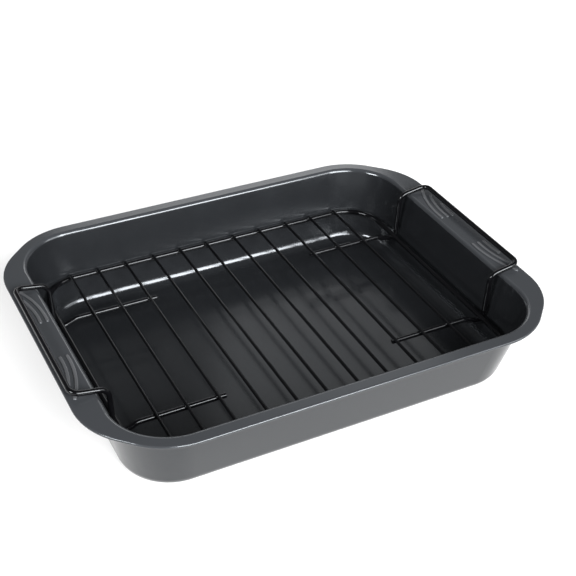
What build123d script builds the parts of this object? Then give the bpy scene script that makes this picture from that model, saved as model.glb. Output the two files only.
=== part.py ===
from build123d import *
import math
import os

# Roasting pan with a lift-out wire rack, in millimetres.
# The origin is the centre of the pan's flat underside. X runs along the pan, from
# grip end to grip end, Y runs across it, and Z points up.

# Pan: one drawn sheet
sheet = 0.8
pan_height = 67.0
rim_length = 400.0
rim_width = 308.2
rim_corner_cut = 45.0
rim_corner_round = 60.0
mouth_length = 355.6
mouth_width = 285.0
mouth_corner = 46.9
base_length = 335.0
base_width = 249.0
base_corner = 42.0
floor_round = 10.2
rim_bend = 3.2
bead_radius = 1.3
bead_turn = 270.0

# Grip ribs, pressed up in the rim at both ends: three arcs round one centre on each
# side of the middle
rib_centre = (280.5, 30.0)
rib_radii = (97.0, 91.4, 85.8)
rib_outer_ends = (74.0, 62.0, 45.0)
rib_inner_end = 24.5
rib_width = 3.0
rib_height = 0.85
rib_edge_round = 0.8
rib_hollow_width = 1.4

# Rack: wires welded at every crossing
thick_wire = 4.3
thin_wire = 2.7
weld_sink = 0.7
wire_end_round = 0.4
ring_length = 325.2
ring_width = 256.4
ring_corner = 32.3
ring_level = 28.1
cross_wire_places = (-134.0, -109.0, -83.0, -56.5, -30.5, -4.5, 23.0, 49.5, 77.5, 103.5, 130.0)
cross_wire_overhang = 0.6

# Handles, the same bent wire at both ends, welded on a little off the middle. All but
# the widths are distances from the middle of the pan and levels above its underside.
handle_half_width = 72.2
handle_offset = {-1: -2.4, 1: 0.6}
foot_end = 76.0
joggle_start = 148.0
joggle_end = 158.0
under_ring_sink = 0.1
leg_foot = 167.2
leg_top = 169.0
leg_top_level = 67.7
bar_reach = 196.6
bar_level = 72.3
joggle_bend = 8.0
foot_bend = 5.0
shoulder_bend = 9.0
bar_bend = 7.0

# Worked out from the above
cross_wire_level = ring_level + thick_wire / 2 + thin_wire / 2 - weld_sink
under_ring_level = ring_level - thick_wire + under_ring_sink


def wall_outline(height, inset=0.0):
    """Length, width and corner radius of the wall's outside at a height, moved in by inset."""
    share = height / pan_height
    length = base_length + (mouth_length + 2 * sheet - base_length) * share
    width = base_width + (mouth_width + 2 * sheet - base_width) * share
    corner = base_corner + (mouth_corner + sheet - base_corner) * share
    return length - 2 * inset, width - 2 * inset, corner - inset


def tub(inset, floor_level, lower_round):
    """Solid tub out to the wall's outside, or to its inside when inset by the sheet."""
    with BuildPart() as body:
        for height in (floor_level, pan_height):
            with BuildSketch(Plane.XY.offset(height)):
                RectangleRounded(*wall_outline(height, inset))
        loft(ruled=True)
        fillet(body.faces().sort_by(Axis.Z)[0].edges(), lower_round)
    return body.part


def rib_arc(radius, outer_end):
    """Centre line of one rib, in the quarter of the rim where x and y are positive."""
    start = math.degrees(math.asin((rib_inner_end - rib_centre[1]) / radius))
    end = math.degrees(math.asin((outer_end - rib_centre[1]) / radius))
    return CenterArc(rib_centre, radius, 180 - start, start - end, mode=Mode.PRIVATE)


def rib_outlines(level, width):
    """Sketch of all twelve ribs at a level."""
    with BuildSketch(Plane.XY.offset(level)) as outlines:
        for radius, outer_end in zip(rib_radii, rib_outer_ends):
            SlotArc(rib_arc(radius, outer_end), width)
        mirror(about=Plane.XZ)
        mirror(about=Plane.YZ)
    return outlines.sketch


def ring_half_width(x):
    """Half width of the ring's centre line at a place along the pan."""
    into_corner = max(0.0, abs(x) - (ring_length / 2 - ring_corner))
    return ring_width / 2 - ring_corner + math.sqrt(ring_corner**2 - into_corner**2)


def handle_points(side):
    """Corners of a handle's wire, from one free end to the other."""
    profile = [
        (foot_end, ring_level),
        (joggle_start, ring_level),
        (joggle_end, under_ring_level),
        (leg_foot, under_ring_level),
        (leg_top, leg_top_level),
        (bar_reach, bar_level),
    ]
    middle = handle_offset[side]
    front = [(side * x, middle - handle_half_width, z) for x, z in profile]
    back = [(side * x, middle + handle_half_width, z) for x, z in reversed(profile)]
    return front + back


def finish(piece, name):
    """Label a finished piece and write it."""
    piece.part.label = name
    export_step(piece.part, f"parts/{name}.step")


os.makedirs("parts", exist_ok=True)

outer_tub = tub(0.0, 0.0, floor_round + sheet)
hollow = tub(sheet, sheet, floor_round)
ribs = rib_outlines(pan_height, rib_width)
rib_hollows = rib_outlines(pan_height - sheet, rib_hollow_width)

with BuildPart() as pan:
    # The flat rim, out to where its edge starts to roll, round the solid tub
    with BuildSketch(Plane.XY.offset(pan_height - sheet)) as rim:
        Rectangle(rim_length, rim_width)
        chamfer(rim.vertices(), rim_corner_cut)
        fillet(rim.vertices(), rim_corner_round)
        offset(amount=-bead_radius)
    extrude(amount=sheet)
    add(outer_tub)
    rim_underside = pan.faces().filter_by(Axis.Z).sort_by(Axis.Z)[1]
    fillet(rim_underside.inner_wires()[0].edges(), rim_bend - sheet)

    # The hollow, rounded where the wall turns out into the rim
    add(hollow, mode=Mode.SUBTRACT)
    rim_top = pan.faces().filter_by(Axis.Z).sort_by(Axis.Z)[-1]
    fillet(rim_top.inner_wires()[0].edges(), rim_bend)

    # The grip ribs, hollow on the underside
    extrude(ribs, amount=rib_height)
    fillet(pan.faces().group_by(Axis.Z)[-1].edges(), rib_edge_round)
    extrude(rib_hollows, amount=rib_height, mode=Mode.SUBTRACT)

    # The rolled bead all round, open on its inner side
    rim_edge = rim.sketch.face().outer_wire()
    bead_plane = Plane(rim_edge @ 0, x_dir=(0, 0, 1), z_dir=rim_edge % 0)
    with BuildSketch(bead_plane):
        with BuildLine():
            CenterArc((sheet - bead_radius, 0), bead_radius - sheet / 2, 0, bead_turn)
            offset(amount=sheet / 2)
        make_face()
    sweep(path=rim_edge)

finish(pan, "pan")

with BuildPart() as rack_ring:
    with BuildLine(Plane.XY.offset(ring_level)) as ring_line:
        corners = ((1, 1), (-1, 1), (-1, -1), (1, -1))
        FilletPolyline(
            [(x * ring_length / 2, y * ring_width / 2) for x, y in corners],
            radius=ring_corner,
            close=True,
        )
    with BuildSketch(Plane(ring_line.wire() @ 0, z_dir=ring_line.wire() % 0)):
        Circle(thick_wire / 2)
    sweep(path=ring_line.wire())

finish(rack_ring, "rack_ring")

# Each handle's foot wires are welded under the cross wires, and its dip under the ring
handles = []
for side, name in ((-1, "handle_left"), (1, "handle_right")):
    with BuildPart() as handle:
        with BuildLine() as handle_line:
            bends = [joggle_bend, joggle_bend, foot_bend, shoulder_bend, bar_bend]
            FilletPolyline(handle_points(side), radius=bends + bends[::-1])
        with BuildSketch(Plane(handle_line.wire() @ 0, z_dir=handle_line.wire() % 0)):
            Circle(thick_wire / 2)
        sweep(path=handle_line.wire())
        fillet(handle.faces().filter_by(GeomType.PLANE).edges(), wire_end_round)
        add(rack_ring.part, mode=Mode.SUBTRACT)
    finish(handle, name)
    handles.append(handle.part)

for number, x in enumerate(cross_wire_places, start=1):
    half_length = ring_half_width(x) + cross_wire_overhang
    with BuildPart() as cross_wire:
        with BuildSketch(Plane((x, -half_length, cross_wire_level), z_dir=(0, 1, 0))):
            Circle(thin_wire / 2)
        extrude(amount=2 * half_length)
        fillet(cross_wire.faces().filter_by(Axis.Y).edges(), wire_end_round)
        add(rack_ring.part, mode=Mode.SUBTRACT)
        add(handles, mode=Mode.SUBTRACT)
    finish(cross_wire, f"cross_wire_{number:02d}")
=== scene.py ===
import math

import bmesh
import bpy
from mathutils import Matrix, Vector


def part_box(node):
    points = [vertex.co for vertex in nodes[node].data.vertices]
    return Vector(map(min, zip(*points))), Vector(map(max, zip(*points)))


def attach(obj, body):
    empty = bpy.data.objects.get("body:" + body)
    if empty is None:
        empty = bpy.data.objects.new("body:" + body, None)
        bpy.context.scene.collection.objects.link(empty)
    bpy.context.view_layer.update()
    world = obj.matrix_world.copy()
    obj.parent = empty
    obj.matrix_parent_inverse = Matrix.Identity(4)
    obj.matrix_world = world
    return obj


# Roasting pan with rack, dressed and lit. Metres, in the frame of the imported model.
MM = 0.001

# Camera, fitted to the photograph
CAMERA_PLACE = Vector((-0.3532, -0.6947, 0.6040))
CAMERA_AZIMUTH = -27.93
CAMERA_ELEVATION = 34.93
CAMERA_ROLL = 1.64
CAMERA_LENS = 71.49

# Levels between which the pan's coating is painted paler towards its rim: painted light, standing in for
# the light the open flange catches and the walled-in floor does not
RIM_PAINTED_LIGHT_LEVELS = (63.8 * MM, 66.6 * MM)

# Levels between which it is painted paler again up the grip ribs: a painted highlight on the ribs
RIB_PAINTED_HIGHLIGHT_LEVELS = (67.3 * MM, 67.8 * MM)

# Tones of the pan's coating, in linear light; the rim tone is painted light and the rib tone a painted
# highlight
PAN_DARK = (0.0068, 0.0074, 0.0084)
PAN_LIGHT = (0.0080, 0.0087, 0.0098)
PAN_GRAIN = (0.0120, 0.0130, 0.0145)
PAN_RIM_PAINTED_LIGHT = (0.0265, 0.0285, 0.0315)
PAN_RIB_PAINTED_HIGHLIGHT = (0.058, 0.060, 0.064)

# Tones of the wires' coating, in linear light
WIRE_DARK = (0.0015, 0.0015, 0.0018)
WIRE_LIGHT = (0.0025, 0.0025, 0.003)

# Welds: how far above the thick wire's middle they sit, and their half sizes along X, Y, Z
WELD_RISE = 1.2 * MM
WELD_OVER = (2.1 * MM, 2.3 * MM, 1.75 * MM)
WELD_UNDER = (2.3 * MM, 2.2 * MM, 1.5 * MM)

# How uneven a weld's drop is round its middle, how many swellings it has there, and how
# far they turn from one weld to the next
WELD_SWELL = 0.06
WELD_SWELLINGS = 3
WELD_TURN = 2.4

# A Mix node's sockets for colours
MIX_FIRST = 6
MIX_SECOND = 7
MIX_RESULT = 2

FLOOR_HALF_WIDTH = 3.0
FLOOR_TONE = 0.38

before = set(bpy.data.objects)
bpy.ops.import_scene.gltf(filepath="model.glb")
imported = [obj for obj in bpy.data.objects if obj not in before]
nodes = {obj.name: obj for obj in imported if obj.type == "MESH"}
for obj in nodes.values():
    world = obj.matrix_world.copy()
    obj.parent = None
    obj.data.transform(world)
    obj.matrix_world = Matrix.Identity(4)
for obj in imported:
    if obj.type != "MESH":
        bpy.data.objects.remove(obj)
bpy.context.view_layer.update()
wires = {name: node for name, node in nodes.items() if name != "pan"}


def new_material(name):
    """An empty node material, with its tree and its surface shader."""
    material = bpy.data.materials.new(name)
    material.use_nodes = True
    tree = material.node_tree
    tree.nodes.clear()
    output = tree.nodes.new("ShaderNodeOutputMaterial")
    shader = tree.nodes.new("ShaderNodeBsdfPrincipled")
    tree.links.new(shader.outputs["BSDF"], output.inputs["Surface"])
    return material, tree, shader


def noise(tree, place, scale, detail=2.0, roughness=0.5):
    """A noise in the object's own metres; scale is in features per metre."""
    node = tree.nodes.new("ShaderNodeTexNoise")
    node.inputs["Scale"].default_value = scale
    node.inputs["Detail"].default_value = detail
    node.inputs["Roughness"].default_value = roughness
    tree.links.new(place, node.inputs["Vector"])
    return node.outputs["Fac"]


def object_place(tree):
    return tree.nodes.new("ShaderNodeTexCoord").outputs["Object"]


def remap(tree, value, low, high, new_low, new_high):
    """The value, mapped from one range to another and held inside it."""
    node = tree.nodes.new("ShaderNodeMapRange")
    node.inputs["From Min"].default_value = low
    node.inputs["From Max"].default_value = high
    node.inputs["To Min"].default_value = new_low
    node.inputs["To Max"].default_value = new_high
    tree.links.new(value, node.inputs["Value"])
    return node.outputs["Result"]


def blend_colours(tree, share, first, second):
    """Two colours or colour outputs, mixed by a share."""
    node = tree.nodes.new("ShaderNodeMix")
    node.data_type = "RGBA"
    tree.links.new(share, node.inputs["Factor"])
    for socket, colour in ((node.inputs[MIX_FIRST], first), (node.inputs[MIX_SECOND], second)):
        if isinstance(colour, tuple):
            socket.default_value = colour + (1.0,)
        else:
            tree.links.new(colour, socket)
    return node.outputs[MIX_RESULT]


def bump(tree, height, distance, strength=1.0, after=None):
    node = tree.nodes.new("ShaderNodeBump")
    node.inputs["Distance"].default_value = distance
    node.inputs["Strength"].default_value = strength
    tree.links.new(height, node.inputs["Height"])
    if after is not None:
        tree.links.new(after, node.inputs["Normal"])
    return node.outputs["Normal"]


def pan_coating():
    """Dark grey satin non-stick coating: fine grain, faint orange-peel, with painted light on the rim and
    painted highlights on the ribs.
    """
    material, tree, shader = new_material("pan_coating")
    place = object_place(tree)
    clouds = remap(tree, noise(tree, place, 45.0, 3.0), 0.3, 0.7, 0.0, 1.0)
    ground = blend_colours(tree, clouds, PAN_DARK, PAN_LIGHT)
    grain = remap(tree, noise(tree, place, 1900.0, 2.0, 0.7), 0.45, 0.75, 0.0, 1.0)
    inside = blend_colours(tree, grain, ground, PAN_GRAIN)
    split = tree.nodes.new("ShaderNodeSeparateXYZ")
    tree.links.new(place, split.inputs["Vector"])
    # Painted light: the coating turns paler up the rim, where the flange catches more light
    rim_painted_light_share = remap(tree, split.outputs["Z"], *RIM_PAINTED_LIGHT_LEVELS, 0.0, 1.0)
    with_rim_painted_light = blend_colours(tree, rim_painted_light_share, inside, PAN_RIM_PAINTED_LIGHT)
    # Painted highlight: the coating turns paler again up the grip ribs
    rib_painted_highlight_share = remap(tree, split.outputs["Z"], *RIB_PAINTED_HIGHLIGHT_LEVELS, 0.0, 1.0)
    colour = blend_colours(tree, rib_painted_highlight_share, with_rim_painted_light, PAN_RIB_PAINTED_HIGHLIGHT)
    tree.links.new(colour, shader.inputs["Base Color"])
    sheen = remap(tree, noise(tree, place, 260.0, 3.0), 0.25, 0.75, 0.15, 0.175)
    tree.links.new(sheen, shader.inputs["Roughness"])
    shader.inputs["IOR"].default_value = 1.5
    shader.inputs["Specular Tint"].default_value = (0.9, 0.95, 1.0, 1.0)
    peel = bump(tree, noise(tree, place, 1500.0, 1.0), 0.000006)
    tree.links.new(peel, shader.inputs["Normal"])
    return material


def wire_coating():
    """Glossy black dipped coating, thicker and thinner along the wire."""
    material, tree, shader = new_material("rack_coating")
    place = object_place(tree)
    patches = remap(tree, noise(tree, place, 180.0, 3.0), 0.3, 0.7, 0.0, 1.0)
    colour = blend_colours(tree, patches, WIRE_DARK, WIRE_LIGHT)
    tree.links.new(colour, shader.inputs["Base Color"])
    sheen = remap(tree, noise(tree, place, 320.0, 3.0), 0.25, 0.75, 0.1, 0.15)
    tree.links.new(sheen, shader.inputs["Roughness"])
    shader.inputs["IOR"].default_value = 1.34
    shader.inputs["Specular Tint"].default_value = (0.93, 0.97, 1.0, 1.0)
    runs = bump(tree, noise(tree, place, 300.0, 1.0), 0.00003)
    tree.links.new(runs, shader.inputs["Normal"])
    return material


def wire_radius(name):
    """Half the height of a level wire's box."""
    low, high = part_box(name)
    return (high[2] - low[2]) / 2


def add_bead(mesh, middle, halves, turn):
    """One closed drop of weld metal under the coating, slightly uneven."""
    rows = 9
    columns = 18
    rings = []
    for row in range(1, rows):
        tilt = math.pi * row / rows
        ring = []
        for column in range(columns):
            around = 2 * math.pi * column / columns
            swell = 1 + WELD_SWELL * math.sin(WELD_SWELLINGS * around + turn) * math.sin(tilt)
            across = math.sin(tilt) * swell
            direction = (across * math.cos(around), across * math.sin(around), math.cos(tilt))
            ring.append(mesh.verts.new(middle + Vector(direction) * Vector(halves)))
        rings.append(ring)
    top = mesh.verts.new(middle + Vector((0, 0, halves[2])))
    bottom = mesh.verts.new(middle - Vector((0, 0, halves[2])))
    for column in range(columns):
        after = (column + 1) % columns
        mesh.faces.new((top, rings[0][column], rings[0][after]))
        for upper, lower in zip(rings, rings[1:]):
            mesh.faces.new((upper[column], lower[column], lower[after], upper[after]))
        mesh.faces.new((bottom, rings[-1][after], rings[-1][column]))


def weld_places():
    """Middles of all welds: cross wires on the ring and on the feet, handles under the ring."""
    low, high = (Vector(corner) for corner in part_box("rack_ring"))
    thick = wire_radius("rack_ring")
    level = (low.z + high.z) / 2
    ring_y = high.y - thick
    ring_x = high.x - thick
    places = []
    feet = {}
    for side, name in ((-1, "handle_left"), (1, "handle_right")):
        near, far = (Vector(corner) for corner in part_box(name))
        legs = (near.y + thick, far.y - thick)
        free_end = far.x if side < 0 else near.x
        feet[side] = (abs(free_end), legs)
        places += [(Vector((side * ring_x, y, low.z)), "under") for y in legs]
    for name in sorted(nodes):
        if name.startswith("cross_wire"):
            near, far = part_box(name)
            x = (near[0] + far[0]) / 2
            places += [(Vector((x, y, level + WELD_RISE)), "over") for y in (-ring_y, ring_y)]
            free_end, legs = feet[-1 if x < 0 else 1]
            if abs(x) > free_end:
                places += [(Vector((x, y, level + WELD_RISE)), "over") for y in legs]
    return places


def weld_beads():
    """The welds, swollen a little by the coating, as one piece."""
    halves = {"over": WELD_OVER, "under": WELD_UNDER}
    mesh = bmesh.new()
    for number, (middle, kind) in enumerate(weld_places()):
        add_bead(mesh, middle, halves[kind], WELD_TURN * number)
    data = bpy.data.meshes.new("weld_beads")
    mesh.to_mesh(data)
    mesh.free()
    data.shade_smooth()
    piece = bpy.data.objects.new("weld_beads", data)
    bpy.context.scene.collection.objects.link(piece)
    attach(piece, "rack")
    return piece


def dress(piece, material):
    piece.data.materials.clear()
    piece.data.materials.append(material)


def arithmetic(tree, operation, first, second):
    node = tree.nodes.new("ShaderNodeMath")
    node.operation = operation
    tree.links.new(first, node.inputs[0])
    tree.links.new(second, node.inputs[1])
    return node.outputs["Value"]


def seen_share(tree):
    """1 for rays from the camera, and for those mirrored or passed on to it."""
    path = tree.nodes.new("ShaderNodeLightPath")
    mirrored = arithmetic(tree, "MAXIMUM", path.outputs["Is Camera Ray"], path.outputs["Is Glossy Ray"])
    return arithmetic(tree, "MAXIMUM", mirrored, path.outputs["Is Transmission Ray"])


def floor():
    """Pale floor that shows white where it is lit, and keeps the pan's shadow."""
    half = FLOOR_HALF_WIDTH
    mesh = bpy.data.meshes.new("floor")
    corners = [(-half, -half, 0), (half, -half, 0), (half, half, 0), (-half, half, 0)]
    mesh.from_pydata(corners, [], [(0, 1, 2, 3)])
    piece = bpy.data.objects.new("floor", mesh)
    bpy.context.scene.collection.objects.link(piece)
    material, tree, shader = new_material("floor")
    shader.inputs["Base Color"].default_value = (FLOOR_TONE, FLOOR_TONE, FLOOR_TONE, 1.0)
    shader.inputs["Roughness"].default_value = 1.0
    shader.inputs["Specular IOR Level"].default_value = 0.0
    shader.inputs["Emission Color"].default_value = (1.0, 1.0, 1.0, 1.0)
    strength = remap(tree, seen_share(tree), 0.0, 1.0, 0.05, 0.56)
    tree.links.new(strength, shader.inputs["Emission Strength"])
    piece.data.materials.append(material)


def studio():
    """Dark studio with a pale horizon all round, a little lighter behind the pan."""
    world = bpy.data.worlds.new("studio")
    bpy.context.scene.world = world
    world.use_nodes = True
    tree = world.node_tree
    tree.nodes.clear()
    output = tree.nodes.new("ShaderNodeOutputWorld")
    background = tree.nodes.new("ShaderNodeBackground")
    tree.links.new(background.outputs["Background"], output.inputs["Surface"])
    background.inputs["Color"].default_value = (1.0, 1.0, 1.0, 1.0)
    direction = tree.nodes.new("ShaderNodeTexCoord").outputs["Generated"]
    split = tree.nodes.new("ShaderNodeSeparateXYZ")
    tree.links.new(direction, split.inputs["Vector"])
    behind = remap(tree, split.outputs["Y"], -0.1, 0.5, 0.0, 1.0)
    room = remap(tree, split.outputs["Z"], 0.6, 0.85, 0.12, 0.0)
    glow = arithmetic(tree, "MULTIPLY", behind, room)
    pale = remap(tree, split.outputs["Z"], 0.05, 0.13, 1.0, 0.04)
    strength = arithmetic(tree, "ADD", glow, pale)
    tree.links.new(strength, background.inputs["Strength"])


def softbox(name, azimuth, elevation, distance, width, height, brightness):
    """A lamp that faces the object; azimuth 0 is in front, and turns towards +X."""
    a = math.radians(azimuth)
    e = math.radians(elevation)
    away = Vector((math.sin(a) * math.cos(e), -math.cos(a) * math.cos(e), math.sin(e)))
    lamp = bpy.data.lights.new(name, "AREA")
    lamp.shape = "RECTANGLE"
    lamp.size = width
    lamp.size_y = height
    lamp.energy = brightness * math.pi * width * height
    holder = bpy.data.objects.new(name, lamp)
    holder.location = away * distance
    holder.rotation_euler = away.to_track_quat("Z", "Y").to_euler()
    bpy.context.scene.collection.objects.link(holder)


def camera():
    data = bpy.data.cameras.new("camera")
    data.lens = CAMERA_LENS
    data.sensor_width = 36.0
    holder = bpy.data.objects.new("camera", data)
    turn = Matrix.Rotation(math.radians(CAMERA_AZIMUTH), 4, "Z")
    tilt = Matrix.Rotation(math.radians(90 - CAMERA_ELEVATION), 4, "X")
    roll = Matrix.Rotation(math.radians(CAMERA_ROLL), 4, "Z")
    holder.matrix_world = Matrix.Translation(CAMERA_PLACE) @ turn @ tilt @ roll
    bpy.context.scene.collection.objects.link(holder)
    bpy.context.scene.camera = holder


black = wire_coating()
for wire in wires.values():
    dress(wire, black)
dress(weld_beads(), black)
dress(nodes["pan"], pan_coating())

floor()
studio()
softbox("key", azimuth=5.5, elevation=32.0, distance=4.0, width=2.99, height=1.92, brightness=26.0)
softbox("key_side", azimuth=43.0, elevation=32.0, distance=4.0, width=2.45, height=1.85, brightness=6.5)
softbox("fill", azimuth=-75.0, elevation=30.0, distance=3.0, width=1.05, height=0.64, brightness=38.0)
softbox("back_panel", azimuth=157.8, elevation=27.0, distance=1.8, width=0.78, height=0.32, brightness=2.3)
softbox("back_high", azimuth=147.0, elevation=40.0, distance=1.8, width=0.55, height=0.35, brightness=0.7)
camera()
bpy.context.scene.view_settings.view_transform = "Standard"
